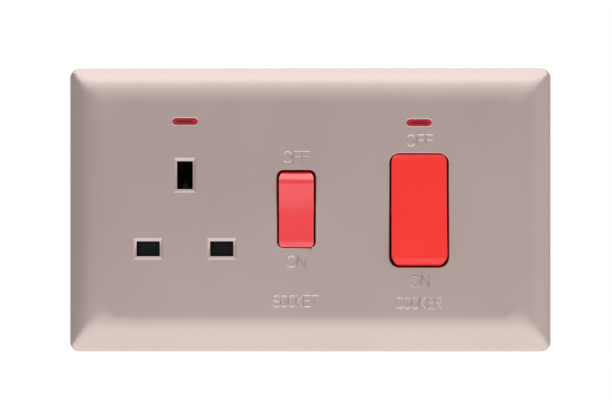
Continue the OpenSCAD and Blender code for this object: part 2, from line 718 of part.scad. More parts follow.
module socket_plunger() color("silver") seat_small() plunger(small_plunger, small_reach, small_tail, 0);
module socket_plunger_spring() color("silver") seat_small()
    plunger_spring(0, small_seat, small_tail - small_seat, small_plunger - 0.42);
module line_plunger() color("silver") seat_large() plunger(large_plunger, large_reach, large_tail, -pole_offset);
module neutral_plunger() color("silver") seat_large() plunger(large_plunger, large_reach, large_tail, pole_offset);
module line_plunger_spring() color("silver") seat_large()
    plunger_spring(-pole_offset, large_seat, large_tail - large_seat, large_plunger - 0.42);
module neutral_plunger_spring() color("silver") seat_large()
    plunger_spring(pole_offset, large_seat, large_tail - large_seat, large_plunger - 0.42);

// Rocking blade about its own pivot, level, with its contact button behind the top end
module blade(width, front, thickness, contact_z, button, button_depth) {
    block(-width / 2, width / 2, -front, -front + thickness, -contact_z + 2, contact_z + 1.3);
    bar_x(trunnion, -width / 2 - 1.3, width / 2 + 1.3);
    bar_y(button, -front + thickness - 0.1, -front + thickness + button_depth, 0, contact_z);
}

module small_blade_seat(angle) translate([small_x, small_blade_y, small_z]) rotate([angle, 0, 0]) children();
module large_blade_seat(angle, s) translate([large_x + s * pole_offset, large_blade_y, large_z])
    rotate([angle, 0, 0]) children();

module socket_blade() color("goldenrod") small_blade_seat(-blade_tilt)
    blade(5.6, small_blade_front, 1, small_contact_z, 2, 0.8);
module line_blade() color("goldenrod") large_blade_seat(blade_tilt, -1)
    blade(5, large_blade_front, 1.2, large_contact_z, 2.2, 1);
module neutral_blade() color("goldenrod") large_blade_seat(blade_tilt, 1)
    blade(5, large_blade_front, 1.2, large_contact_z, 2.2, 1);

// Two ears that carry a blade's trunnions
module ears(x, z, y, blade_width, foot_y, ear_half) for (s = [-1, 1]) difference() {
    translate([x + s * (blade_width / 2 + 0.7), 0, 0])
        block(-0.4, 0.4, y - 1.9, foot_y + 0.1, z - ear_half, z + ear_half);
    bar_x(trunnion + run, x - 10, x + 10, y, z);
}

// Gripping leaves above and below a flat pin
module pin_clip(x, z, half_width, y0, y1) {
    for (s = [-1, 1]) block(x - half_width, x + half_width, y0, y1,
        s > 0 ? z + leaf_gap / 2 : z - leaf_gap / 2 - leaf, s > 0 ? z + leaf_gap / 2 + leaf : z - leaf_gap / 2);
    block(x - half_width, x + half_width, y1 - 0.1, y1 + strip, z - leaf_gap / 2 - leaf, z + leaf_gap / 2 + leaf);
}

module line_contact() color("goldenrod") {
    pin_clip(line_x, pin_row_z, clip_half, clip_front, clip_back);
    block(line_x - 3, -10.6, clip_back, clip_back + strip, pin_row_z - 1.8, pin_row_z + 1.8);
    block(-13.6, -10.6, clip_back, clip_back + strip, pin_row_z - 1.8, small_contact_z + 1.8);
    block(-13.6, small_x + 2.4, clip_back, clip_back + strip, small_contact_z - 1.6, small_contact_z + 1.8);
    small_blade_seat(-blade_tilt)
        bar_y(2.3, -small_blade_front + 1.9, 2.2, 0, small_contact_z);
}

module neutral_contact() color("goldenrod") {
    outer = large_x + block_offset;
    pin_clip(neutral_x, pin_row_z, clip_half, clip_front, clip_back);
    block(neutral_x - strip_half, neutral_x + strip_half, clip_back, clip_back + strip, link_bottom, pin_row_z);
    block(neutral_x - strip_half, neutral_x + strip_half, neutral_link_y, clip_back + strip, link_bottom, link_top);
    block(neutral_x - strip_half, outer + strip_half, neutral_link_y, neutral_link_y + strip, link_bottom, link_top);
    block(outer - strip_half, outer + strip_half, neutral_link_y, block_front, link_bottom, link_top);
}

module earth_contact() color("goldenrod") {
    for (s = [-1, 1]) block(s > 0 ? socket_x + leaf_gap / 2 : socket_x - leaf_gap / 2 - leaf,
        s > 0 ? socket_x + leaf_gap / 2 + leaf : socket_x - leaf_gap / 2, earth_front, earth_back,
        earth_z - 4, earth_z + 4);
    block(socket_x - leaf_gap / 2 - leaf, socket_x + leaf_gap / 2 + leaf, earth_back - 0.1, earth_back + strip,
        earth_z - 4, earth_z + 9);
    block(socket_x - leaf_gap / 2, earth_block_x - earth_block_width / 2, earth_back, earth_back + strip,
        earth_z + 6, earth_z + 9);
}

module earth_terminal() color("goldenrod")
    pillar(earth_block_x, earth_block_width, earth_block_front, socket_base_depth - base_wall,
        earth_block_bottom, earth_block_top, earth_bore_radius, earth_bore_y, earth_screw_radius);
module earth_screw() color("silver")
    grub_screw(earth_block_x, earth_screw_z, earth_screw_radius, earth_bore_y + earth_bore_radius + 0.2,
        socket_base_depth - 0.2);

module line_link() color("goldenrod") {
    ears(small_x, small_z, small_blade_y, 5.6, link_y, 2);
    block(small_x - 3.9, small_x + 3.9, link_y, link_y + strip, small_z - 2, small_z + 2);
    block(small_x + 0.9, small_x + 3.9, link_y, link_y + strip, link_bottom, small_z);
    block(small_x + 0.9, large_x - block_offset + 1, link_y, link_y + strip, link_bottom, link_top);
    block(large_x - block_offset - strip_half, large_x - block_offset + 1, link_y, block_front, link_bottom, link_top);
}

module main_block(s, t) color("goldenrod") pillar(large_x + s * block_offset, block_width, block_front, block_back,
    t > 0 ? block_inner : -block_inner - block_height, t > 0 ? block_inner + block_height : -block_inner,
    bore_radius, bore_y, main_screw);

module supply_line_terminal() main_block(-1, -1);
module supply_neutral_terminal() main_block(1, -1);
module load_line_terminal() main_block(-1, 1);
module load_neutral_terminal() main_block(1, 1);

module terminal_screws() color("silver") for (s = [-1, 1], t = [-1, 1])
    grub_screw(large_x + s * block_offset, t * (block_inner + block_height / 2), main_screw,
        bore_y + bore_radius + 0.2, cooker_base_depth - 0.2);

// Blade bracket of one cooker pole, joined to its supply terminal
module supply_bracket(s) color("goldenrod") {
    x = large_x + s * pole_offset;
    outer = large_x + s * block_offset;
    ears(x, large_z, large_blade_y, 5, bracket_y, 2.2);
    block(x - 3.6, x + 3.6, bracket_y, bracket_y + strip, large_z - 2.2, large_z + 2.2);
    block(x - 2.5, x + 2.5, bracket_y, bracket_y + strip, -block_inner, large_z);
    block(min(x - 2.5, outer - strip_half), max(x + 2.5, outer + strip_half), bracket_y, bracket_y + strip,
        -block_inner, -block_inner + 3);
}

module supply_line_bracket() supply_bracket(-1);
module supply_neutral_bracket() supply_bracket(1);

// Fixed contact of one cooker pole, joined to its load terminal
module load_contact(s) color("goldenrod") {
    x = large_x + s * pole_offset;
    outer = large_x + s * block_offset;
    block(min(x - 3, outer - 1), max(x + 3, outer + 1), contact_y, contact_y + strip, large_contact_z - 3, block_inner);
    large_blade_seat(-blade_tilt, s) bar_y(2.5, -large_blade_front + 2.3, 2.2, 0, large_contact_z);
}

module load_line_contact() load_contact(-1);
module load_neutral_contact() load_contact(1);

// Glass tube with round ends and a hole at each end for its lead
module lamp(x, z) difference() {
    union() {
        bar_x(lamp_radius, x - lamp_half, x + lamp_half, lamp_y, z);
        for (s = [-1, 1]) translate([x + s * lamp_half, lamp_y, z]) sphere(lamp_radius);
    }
    for (s = [-1, 1]) bar_x(lead_radius + 0.02, x + (s > 0 ? 3.2 : -7), x + (s > 0 ? 7 : -3.2), lamp_y, z);
}

module socket_lamp() color("orangered") lamp(socket_x, socket_lens_z);
module cooker_lamp() color("orangered") lamp(large_x, cooker_lens_z);
module socket_lamp_resistor() color("wheat")
    bar_y(1.1, 3, 9, socket_x + lead_drop, lead_z);
module cooker_lamp_resistor() color("wheat")
    bar_x(1.1, large_x - block_offset + 3, large_x - block_offset + 9, block_front - lead_setback, lead_z);

// Bend in a lead
module elbow(x, y, z) translate([x, y, z]) sphere(lead_radius);

module socket_lamp_leads() color("lightgray") {
    for (s = [-1, 1]) {
        x = socket_x + s * lead_drop;
        bar_x(lead_radius, min(x, socket_x + s * 3.3), max(x, socket_x + s * 3.3), lamp_y, socket_lens_z);
        elbow(x, lamp_y, socket_lens_z);
        bar_z(lead_radius, lead_z, socket_lens_z, x, lamp_y);
        elbow(x, lamp_y, lead_z);
    }
    bar_y(lead_radius, lamp_y, 3, socket_x + lead_drop, lead_z);
    back = clip_back + strip / 2;
    bar_y(lead_radius, 9, back, socket_x + lead_drop, lead_z);
    bar_y(lead_radius, lamp_y, back, socket_x - lead_drop, lead_z);
    for (s = [-1, 1]) {
        x = socket_x + s * lead_drop;
        end = socket_x + s * (pin_spacing / 2 - clip_half);
        elbow(x, back, lead_z);
        bar_z(lead_radius, pin_row_z, lead_z, x, back);
        elbow(x, back, pin_row_z);
        bar_x(lead_radius, min(x, end), max(x, end), back, pin_row_z);
    }
}

module cooker_lamp_leads() color("lightgray") for (s = [-1, 1]) {
    x = large_x + s * lead_drop;
    tip = large_x + s * (block_offset - 1);
    back = block_front - lead_setback;
    bar_x(lead_radius, min(x, large_x + s * 3.3), max(x, large_x + s * 3.3), lamp_y, cooker_lens_z);
    elbow(x, lamp_y, cooker_lens_z);
    bar_z(lead_radius, lead_z, cooker_lens_z, x, lamp_y);
    elbow(x, lamp_y, lead_z);
    bar_y(lead_radius, lamp_y, back, x, lead_z);
    elbow(x, back, lead_z);
    bar_x(lead_radius, s > 0 ? x : large_x - block_offset + 9, s > 0 ? tip : x, back, lead_z);
    if (s < 0) bar_x(lead_radius, tip, large_x - block_offset + 3, back, lead_z);
    elbow(tip, back, lead_z);
    bar_y(lead_radius, back, block_front, tip, lead_z);
}

face_plate();
socket_lens();
cooker_lens();
mounting_frame();
shutter_deck();
shutter();
shutter_spring();
socket_base();
cooker_base();
socket_base_screws();
cooker_base_screws();
socket_rocker();
socket_plunger();
socket_plunger_spring();
socket_blade();
cooker_rocker();
line_plunger();
neutral_plunger();
line_plunger_spring();
neutral_plunger_spring();
line_blade();
neutral_blade();
line_contact();
neutral_contact();
earth_contact();
earth_terminal();
earth_screw();
line_link();
supply_line_terminal();
supply_neutral_terminal();
load_line_terminal();
load_neutral_terminal();
terminal_screws();
supply_line_bracket();
supply_neutral_bracket();
load_line_contact();
load_neutral_contact();
socket_lamp();
socket_lamp_resistor();
socket_lamp_leads();
cooker_lamp();
cooker_lamp_resistor();
cooker_lamp_leads();
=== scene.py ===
import bpy
import math
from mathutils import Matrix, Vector


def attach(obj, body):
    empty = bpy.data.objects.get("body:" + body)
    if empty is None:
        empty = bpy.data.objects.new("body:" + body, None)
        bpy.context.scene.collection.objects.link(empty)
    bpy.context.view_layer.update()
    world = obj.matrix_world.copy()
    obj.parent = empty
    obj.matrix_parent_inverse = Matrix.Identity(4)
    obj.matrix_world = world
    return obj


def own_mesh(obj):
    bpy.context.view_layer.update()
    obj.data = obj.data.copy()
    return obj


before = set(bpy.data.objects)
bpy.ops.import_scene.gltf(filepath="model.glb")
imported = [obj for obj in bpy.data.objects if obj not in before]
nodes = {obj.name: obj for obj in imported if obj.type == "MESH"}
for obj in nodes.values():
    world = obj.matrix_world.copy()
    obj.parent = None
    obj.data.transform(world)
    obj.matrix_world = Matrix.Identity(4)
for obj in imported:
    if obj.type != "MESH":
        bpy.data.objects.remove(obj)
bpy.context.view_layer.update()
mm = 0.001

# places of a Mix node's two colours and of their mix among its sockets
colourA = 6
colourB = 7
colourMix = 2
print("frame loaded:", len(nodes), "nodes")


def linkNodes(tree, pairs):
    for source, target in pairs:
        tree.links.new(source, target)


def makeGroup(name, inputs, outputs):
    group = bpy.data.node_groups.new(name, "ShaderNodeTree")
    for label, kind, default in inputs:
        socket = group.interface.new_socket(name=label, in_out="INPUT", socket_type=kind)
        socket.default_value = default
    for label, kind in outputs:
        group.interface.new_socket(name=label, in_out="OUTPUT", socket_type=kind)
    return group, group.nodes.new("NodeGroupInput"), group.nodes.new("NodeGroupOutput")


# soft drift between two colours, with a roughness that drifts along with it
def makeDriftGroup():
    group, entry, leave = makeGroup("finishDrift", [
        ("First Colour", "NodeSocketColor", (0.5, 0.5, 0.5, 1)),
        ("Second Colour", "NodeSocketColor", (0.5, 0.5, 0.5, 1)),
        ("Scale", "NodeSocketFloat", 60.0),
        ("Roughness Low", "NodeSocketFloat", 0.3),
        ("Roughness High", "NodeSocketFloat", 0.4)],
        [("Colour", "NodeSocketColor"), ("Roughness", "NodeSocketFloat")])
    place = group.nodes.new("ShaderNodeTexCoord")
    noise = group.nodes.new("ShaderNodeTexNoise")
    noise.inputs["Detail"].default_value = 4
    ramp = group.nodes.new("ShaderNodeMapRange")      # spreads the noise's middle over the whole drift
    ramp.inputs["From Min"].default_value = 0.35
    ramp.inputs["From Max"].default_value = 0.65
    mix = group.nodes.new("ShaderNodeMix")
    mix.data_type = "RGBA"
    rough = group.nodes.new("ShaderNodeMapRange")
    linkNodes(group, [
        (place.outputs["Object"], noise.inputs["Vector"]),
        (entry.outputs["Scale"], noise.inputs["Scale"]),
        (noise.outputs["Fac"], ramp.inputs["Value"]),
        (ramp.outputs["Result"], mix.inputs["Factor"]),
        (entry.outputs["First Colour"], mix.inputs[colourA]),
        (entry.outputs["Second Colour"], mix.inputs[colourB]),
        (ramp.outputs["Result"], rough.inputs["Value"]),
        (entry.outputs["Roughness Low"], rough.inputs["To Min"]),
        (entry.outputs["Roughness High"], rough.inputs["To Max"]),
        (mix.outputs[colourMix], leave.inputs["Colour"]),
        (rough.outputs["Result"], leave.inputs["Roughness"])])
    return group


# fine surface relief: a close grain over slower waves
def makeGrainGroup():
    group, entry, leave = makeGroup("surfaceGrain", [
        ("Grain Scale", "NodeSocketFloat", 2000.0),
        ("Wave Scale", "NodeSocketFloat", 60.0),
        ("Wave Share", "NodeSocketFloat", 0.2),
        ("Stretch", "NodeSocketVector", (1.0, 1.0, 1.0))],
        [("Height", "NodeSocketFloat")])
    place = group.nodes.new("ShaderNodeTexCoord")
    stretch = group.nodes.new("ShaderNodeVectorMath")
    stretch.operation = "MULTIPLY"
    grain = group.nodes.new("ShaderNodeTexNoise")
    grain.inputs["Detail"].default_value = 3
    wave = group.nodes.new("ShaderNodeTexNoise")
    wave.inputs["Detail"].default_value = 1
    mix = group.nodes.new("ShaderNodeMix")
    linkNodes(group, [
        (place.outputs["Object"], stretch.inputs[0]),
        (entry.outputs["Stretch"], stretch.inputs[1]),
        (stretch.outputs["Vector"], grain.inputs["Vector"]),
        (place.outputs["Object"], wave.inputs["Vector"]),
        (entry.outputs["Grain Scale"], grain.inputs["Scale"]),
        (entry.outputs["Wave Scale"], wave.inputs["Scale"]),
        (entry.outputs["Wave Share"], mix.inputs["Factor"]),
        (grain.outputs["Fac"], mix.inputs["A"]),
        (wave.outputs["Fac"], mix.inputs["B"]),
        (mix.outputs["Result"], leave.inputs["Height"])])
    return group


# mask of the painted shade in a lens's middle, by its place in the lens's own box, where every side is one
# long
def makeCoreShadeGroup():
    group, entry, leave = makeGroup("lensCoreShade", [
        ("Half Length", "NodeSocketFloat", 0.3),
        ("Half Height", "NodeSocketFloat", 0.12)],
        [("Mask", "NodeSocketFloat")])
    place = group.nodes.new("ShaderNodeTexCoord")
    parts = group.nodes.new("ShaderNodeSeparateXYZ")
    group.links.new(place.outputs["Generated"], parts.inputs["Vector"])
    product = group.nodes.new("ShaderNodeMath")
    product.operation = "MULTIPLY"
    middle = 0.5
    ends = [("X", "Half Length", 0.10), ("Z", "Half Height", 0.05)]   # axis, input, softness of the end
    for index, (axis, label, soft) in enumerate(ends):
        offset = group.nodes.new("ShaderNodeMath")
        offset.operation = "SUBTRACT"
        offset.inputs[1].default_value = middle
        size = group.nodes.new("ShaderNodeMath")
        size.operation = "ABSOLUTE"
        past = group.nodes.new("ShaderNodeMath")
        past.operation = "SUBTRACT"
        fade = group.nodes.new("ShaderNodeMapRange")
        fade.interpolation_type = "SMOOTHSTEP"
        fade.inputs["From Min"].default_value = -soft
        fade.inputs["From Max"].default_value = soft
        fade.inputs["To Min"].default_value = 1.0
        fade.inputs["To Max"].default_value = 0.0
        linkNodes(group, [
            (parts.outputs[axis], offset.inputs[0]),
            (offset.outputs["Value"], size.inputs[0]),
            (size.outputs["Value"], past.inputs[0]),
            (entry.outputs[label], past.inputs[1]),
            (past.outputs["Value"], fade.inputs["Value"]),
            (fade.outputs["Result"], product.inputs[index])])
    group.links.new(product.outputs["Value"], leave.inputs["Mask"])
    return group


driftGroup = makeDriftGroup()
grainGroup = makeGrainGroup()
coreShadeGroup = makeCoreShadeGroup()


# what a finish takes unless it says otherwise
sharedLook = {
    "waveScale": 60.0,
    "waveShare": 0.2,         # how much of the relief is slow waves
    "stretch": (1.0, 1.0, 1.0),
    "relief": 0.00005,        # depth of the relief, in metres
    "shader": {},
}


def placeGroup(tree, group, values):
    effect = tree.nodes.new("ShaderNodeGroup")
    effect.node_tree = group
    for label, value in values.items():
        effect.inputs[label].default_value = value
    return effect


def makeFinish(name, ownLook):
    look = {**sharedLook, **ownLook}
    finish = bpy.data.materials.new(name)
    finish.use_nodes = True
    tree = finish.node_tree
    shader = tree.nodes["Principled BSDF"]
    drift = placeGroup(tree, driftGroup, {
        "First Colour": (*look["colour"], 1),
        "Second Colour": (*look["second"], 1),
        "Scale": look["drift"],
        "Roughness Low": look["roughness"][0],
        "Roughness High": look["roughness"][1]})
    grain = placeGroup(tree, grainGroup, {
        "Grain Scale": look["grain"],
        "Wave Scale": look["waveScale"],
        "Wave Share": look["waveShare"],
        "Stretch": look["stretch"]})
    bump = tree.nodes.new("ShaderNodeBump")
    bump.inputs["Strength"].default_value = look["bump"]
    bump.inputs["Distance"].default_value = look["relief"]
    linkNodes(tree, [
        (drift.outputs["Colour"], shader.inputs["Base Color"]),
        (drift.outputs["Roughness"], shader.inputs["Roughness"]),
        (grain.outputs["Height"], bump.inputs["Height"]),
        (bump.outputs["Normal"], shader.inputs["Normal"])])
    # painted shade: the lens is made darker in its middle than at its ends
    if "coreShade" in look:
        coreShade = placeGroup(tree, coreShadeGroup, {
            "Half Length": look["coreShadeHalf"][0],
            "Half Height": look["coreShadeHalf"][1]})
        blend = tree.nodes.new("ShaderNodeMix")
        blend.data_type = "RGBA"
        blend.inputs[colourB].default_value = (*look["coreShade"], 1)
        linkNodes(tree, [
            (coreShade.outputs["Mask"], blend.inputs["Factor"]),
            (drift.outputs["Colour"], blend.inputs[colourA]),
            (blend.outputs[colourMix], shader.inputs["Base Color"])])
    for label, value in look["shader"].items():
        shader.inputs[label].default_value = value
    return finish


finishes = {
    "plate": {"colour": (0.335, 0.260, 0.241), "second": (0.35, 0.273, 0.254), "drift": 25.0,
              "roughness": (0.33, 0.37), "grain": 5000.0, "bump": 0.12, "relief": 0.00002,
              "shader": {"Metallic": 0.85}},
    "legend": {"colour": (0.36, 0.285, 0.266), "second": (0.37, 0.295, 0.275), "drift": 25.0,
               "roughness": (0.33, 0.37), "grain": 5000.0, "bump": 0.08, "relief": 0.00002,
               "shader": {"Metallic": 0.85}},
    # the lens's core colour is painted shade, darker in its middle than at its ends
    "lens": {"colour": (0.42, 0.004, 0.022), "second": (0.46, 0.005, 0.026), "drift": 300.0,
             "roughness": (0.14, 0.20), "grain": 900.0, "bump": 0.05,
             "coreShade": (0.145, 0.003, 0.004), "coreShadeHalf": (0.27, 0.115),
             "shader": {"Specular IOR Level": 0.2}},
    # the two rockers are one red plastic; their colours are set apart as painted light, the socket rocker
    # pinker and the cooker rocker more orange, for how light falls on their opposite tilts
    "socketRocker": {"colour": (0.64, 0.006, 0.012), "second": (0.66, 0.008, 0.014), "drift": 40.0,
                     "roughness": (0.17, 0.21), "grain": 3000.0, "bump": 0.04,
                     "shader": {"Specular IOR Level": 0.75}},
    "cookerRocker": {"colour": (0.69, 0.016, 0.009), "second": (0.72, 0.020, 0.014), "drift": 40.0,
                     "roughness": (0.26, 0.32), "grain": 3000.0, "bump": 0.04,
                     "shader": {"Specular IOR Level": 0.3}},
    "blackMoulding": {"colour": (0.006, 0.006, 0.007), "second": (0.010, 0.010, 0.011), "drift": 200.0,
                      "roughness": (0.42, 0.55), "grain": 2500.0, "bump": 0.2,
                      "shader": {"Specular IOR Level": 0.12}},
    "greyMoulding": {"colour": (0.005, 0.006, 0.0065), "second": (0.008, 0.009, 0.010), "drift": 200.0,
                     "roughness": (0.35, 0.5), "grain": 2500.0, "bump": 0.15,
                     "shader": {"Specular IOR Level": 0.09}},
    "housing": {"colour": (0.014, 0.014, 0.016), "second": (0.020, 0.020, 0.022), "drift": 90.0,
                "roughness": (0.32, 0.45), "grain": 2500.0, "bump": 0.2,
                "shader": {"Specular IOR Level": 0.25}},
    # painted shade: brass made nearly black for the earth contact, which lies in shade behind the earth
    # opening
    "shadedBrass": {"colour": (0.040, 0.028, 0.014), "second": (0.026, 0.019, 0.011), "drift": 300.0,
                  "roughness": (0.5, 0.62), "grain": 900.0, "bump": 0.12,
                  "shader": {"Metallic": 1.0}},
    "brass": {"colour": (0.72, 0.50, 0.20), "second": (0.62, 0.41, 0.17), "drift": 180.0,
              "roughness": (0.22, 0.38), "grain": 900.0, "bump": 0.12, "stretch": (1.0, 0.15, 0.15),
              "shader": {"Metallic": 1.0}},
    "steel": {"colour": (0.60, 0.60, 0.60), "second": (0.50, 0.50, 0.52), "drift": 350.0,
              "roughness": (0.22, 0.36), "grain": 1800.0, "bump": 0.1, "shader": {"Metallic": 1.0}},
    "tinned": {"colour": (0.70, 0.70, 0.69), "second": (0.62, 0.62, 0.62), "drift": 500.0,
               "roughness": (0.2, 0.3), "grain": 1500.0, "bump": 0.1, "shader": {"Metallic": 1.0}},
    "lampGlass": {"colour": (0.95, 0.72, 0.58), "second": (0.95, 0.76, 0.62), "drift": 300.0,
                  "roughness": (0.02, 0.05), "grain": 400.0, "bump": 0.02,
                  "shader": {"Transmission Weight": 0.9, "IOR": 1.46}},
    "resistor": {"colour": (0.62, 0.46, 0.28), "second": (0.68, 0.52, 0.33), "drift": 400.0,
                 "roughness": (0.25, 0.35), "grain": 1200.0, "bump": 0.08},
}
madeFinishes = {name: makeFinish(name, look) for name, look in finishes.items()}
print("finishes made:", len(madeFinishes))

dressedNodes = {
    "plate": ["face_plate"],
    "lens": ["socket_lens", "cooker_lens"],
    "socketRocker": ["socket_rocker"],
    "cookerRocker": ["cooker_rocker"],
    "blackMoulding": ["mounting_frame", "shutter_deck"],
    "greyMoulding": ["shutter"],
    "housing": ["socket_base", "cooker_base"],
    # the earth contact takes the brass with painted shade
    "shadedBrass": ["earth_contact"],
    "brass": ["line_contact", "neutral_contact", "earth_terminal", "line_link",
              "supply_line_terminal", "supply_neutral_terminal", "load_line_terminal",
              "load_neutral_terminal", "supply_line_bracket", "supply_neutral_bracket",
              "load_line_contact", "load_neutral_contact", "socket_blade", "line_blade", "neutral_blade"],
    "steel": ["shutter_spring", "socket_base_screws", "cooker_base_screws", "socket_plunger",
              "line_plunger", "neutral_plunger", "socket_plunger_spring", "line_plunger_spring",
              "neutral_plunger_spring", "terminal_screws", "earth_screw"],
    "tinned": ["socket_lamp_leads", "cooker_lamp_leads"],
    "lampGlass": ["socket_lamp", "cooker_lamp"],
    "resistor": ["socket_lamp_resistor", "cooker_lamp_resistor"],
}

# boxes in mm, each its lowest x, y and z and then its highest
anywhere = (-500, -500, -500, 500, 500, 500)
plateFront = (-80, -9, -50, 80, -6, 50)
insideBorder = (-61, -9, -22, 61, -6, 22)
smallOpening = (-12, -9, -14, 3, -6, 14)
largeOpening = (20, -9, -20, 46, -6, 20)
smallRockerFront = (-20, -20, -20, 20, -5, 20)
largeRockerFront = (20, -20, -30, 50, -5, 30)
shutterFront = (-80, -9, -50, 80, 0, 50)
housingRear = (-80, 5, -50, 80, 40, 50)
frameFront = (-80, -3, -50, 80, 0.5, 50)

# edge rounding: nodes, least angle of an edge in degrees, and widths in mm by the first box that holds it
edgeRounding = [
    (["face_plate"], 50, [(smallOpening, 0.5), (largeOpening, 0.35), (plateFront, 0.12)]),
    (["socket_rocker"], 60, [(smallRockerFront, 0.18)]),
    (["cooker_rocker"], 60, [(largeRockerFront, 0.2)]),
    (["shutter"], 30, [(shutterFront, 0.12)]),
    (["socket_base", "cooker_base"], 40, [(housingRear, 0.3)]),
    (["mounting_frame"], 40, [(frameFront, 0.15)]),
]
noRounding = (180, [])
# least angle in degrees of an edge that stays crisp, and its box: the plate's mitred corners stay soft
crispEdges = {"face_plate": (15, insideBorder)}
crispElsewhere = (30, anywhere)
edgeLook = {
    "weldWithin": 0.002,      # corners nearer than this become one, in mm
    "flatWithin": 0.5,        # faces that differ by less become one, in degrees
    "segments": 3,
}
# the pressed-in end of each rocker: which way it lies along z, and by how many mm its bevel fills out
fullEnds = {"socket_rocker": (-1, 1.4), "cooker_rocker": (1, 0.75)}
endLook = {
    "frontY": -5,             # the rocker's face lies in front of this, in mm
    "reach": 2.2,             # how far the bevel runs in from the end, in mm
    "facesFront": 0.5,        # least share of its normal to the front
    "facesEnd": (0.5, 0.86),  # least and most share to the end
}


def dressNode(name, finish):
    piece = nodes[name]
    piece.data.materials.clear()
    piece.data.materials.append(madeFinishes[finish])
    for face in piece.data.polygons:
        face.use_smooth = True
    if name in fullEnds:
        fillEnd(piece, *fullEnds[name])
    weld = piece.modifiers.new("seamWeld", "WELD")
    weld.merge_threshold = edgeLook["weldWithin"] * mm
    angle, boxes = next((entry[1:] for entry in edgeRounding if name in entry[0]), noRounding)
    shapeEdges(piece, angle, boxes, *crispEdges.get(name, crispElsewhere))
    even = piece.modifiers.new("evenShading", "WEIGHTED_NORMAL")
    even.mode = "FACE_AREA"
    even.weight = 50          # neutral: faces count plainly by their area
    even.keep_sharp = True


# one mark for all corners of the CAD's separate faces that lie on the same spot, in steps of 0.01 mm,
# with a shift so that round sizes lie well inside a step
def placeMark(point):
    steps = 100
    shift = 0.3
    return tuple(round(part * steps + shift) for part in point)


# lets a rocker's face run on nearly flat to one end, where the bevel's outer edge moves out
def fillEnd(piece, side, rise):
    mesh = piece.data
    place = [piece.matrix_world @ vertex.co for vertex in mesh.vertices]
    mark = [placeMark(point / mm) for point in place]
    end = max(point.z * side for point in place if point.y < endLook["frontY"] * mm)
    least, most = endLook["facesEnd"]
    slope = [face for face in mesh.polygons
             if face.normal.y < -endLook["facesFront"] and least < face.normal.z * side < most
             and face.center.z * side > end - endLook["reach"] * mm]
    corners = {corner for face in slope for corner in face.vertices}
    sloping = {mark[corner]: place[corner].z * side for corner in corners}
    crest = min(sloping.values())
    group = piece.vertex_groups.new(name="pressedEnd")
    for index, point in enumerate(mark):
        if point in sloping:
            group.add([index], (sloping[point] - crest) / (end - crest), "REPLACE")
    fill = piece.modifiers.new("fullEnd", "DISPLACE")
    fill.direction = "Y"
    fill.mid_level = 0.0
    fill.strength = -rise * mm
    fill.vertex_group = group.name
    print("end filled:", piece.name, len(slope), round(crest / mm, 2), round(end / mm, 2))


def holdsEdge(box, first, second):
    return all(box[k] <= point[k] <= box[k + 3] for point in (first, second) for k in range(3))


# rounds the edges that turn by more than the angle and lie in one of the boxes, each with its own width,
# and keeps the others in the crisp box sharp from the crisp angle on
def shapeEdges(piece, angle, boxes, crispAngle, crispBox):
    mesh = piece.data
    place = [piece.matrix_world @ vertex.co / mm for vertex in mesh.vertices]
    mark = [placeMark(point) for point in place]
    sides = {}
    for face in mesh.polygons:
        for pair in face.edge_keys:
            sides.setdefault(tuple(sorted((mark[pair[0]], mark[pair[1]]))), []).append(face.normal)
    widest = max([width for box, width in boxes], default=1.0)
    weight = mesh.attributes.new("bevel_weight_edge", "FLOAT", "EDGE")
    sharp = mesh.attributes.get("sharp_edge") or mesh.attributes.new("sharp_edge", "BOOLEAN", "EDGE")
    for edge in mesh.edges:
        first, second = edge.vertices
        normals = sides[tuple(sorted((mark[first], mark[second])))]
        turn = normals[0].angle(normals[1], 0) if len(normals) == 2 else 0.0
        width = 0.0
        if turn > math.radians(angle):
            held = [width for box, width in boxes if holdsEdge(box, place[first], place[second])]
            width = held[0] if held else 0.0
        weight.data[edge.index].value = width / widest
        crisp = holdsEdge(crispBox, place[first], place[second])
        sharp.data[edge.index].value = crisp and not width and turn > math.radians(crispAngle)
    if not boxes:
        return
    flat = piece.modifiers.new("flatFaces", "DECIMATE")
    flat.decimate_type = "DISSOLVE"
    flat.angle_limit = math.radians(edgeLook["flatWithin"])
    flat.delimit = {"SHARP"}
    bevel = piece.modifiers.new("edgeRounding", "BEVEL")
    bevel.width = widest * mm
    bevel.segments = edgeLook["segments"]
    bevel.limit_method = "WEIGHT"
    bevel.use_clamp_overlap = False


for finish, names in dressedNodes.items():
    for name in names:
        dressNode(name, finish)
print("nodes dressed")

# springs that a joint would press: the joint, the way to their fixed end in degrees up from the front, and
# the travel in mm; each only gets its own mesh here and is not pressed
springLook = {
    "shutter_spring": ("shutter_slide", -90, 5.6),
    "socket_plunger_spring": ("socket_plunger_press", -6.5, 1.0),
    "line_plunger_spring": ("line_plunger_press", 6, 1.0),
    "neutral_plunger_spring": ("neutral_plunger_press", 6, 1.0),
}


def pressSpring(name):
    spring = nodes[name]
    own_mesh(spring)


for name, (joint, lean, travel) in springLook.items():
    pressSpring(name)

legendLook = {
    "height": 3.32,       # cap height along the stroke's middle, in mm
    "foot": 0.31,         # half width of a stroke at the face, in mm
    "crown": 0.05,        # half width of its flat top
    "rise": 0.19,         # height of that top over the face
    "sink": 0.03,         # how far the foot lies under the face
    "faceY": -8.5,
    "narrow": 0.57,       # widest cell of a letter in a long word, against the cap height
    "longWord": 4,        # letters from which a word is long
    "leastSpread": 0.5,   # keeps the tip of a sharp turn short
    "samePlace": 1e-6,    # points nearer than this are one
    "places": [("OFF", -4.28, 15.84, 7.75), ("ON", -4.28, -15.66, 5.5),
               ("OFF", 32.96, 20.91, 7.75), ("ON", 33.0, -21.47, 5.55),
               ("SOCKET", -4.45, -27.55, 13.4), ("COOKER", 32.73, -28.05, 13.6)],
}


def arcPoints(cx, cz, rx, rz, start, end, count=14):
    turn = [math.radians(start + (end - start) * i / count) for i in range(count + 1)]
    return [(cx + rx * math.cos(t), cz + rz * math.sin(t)) for t in turn]


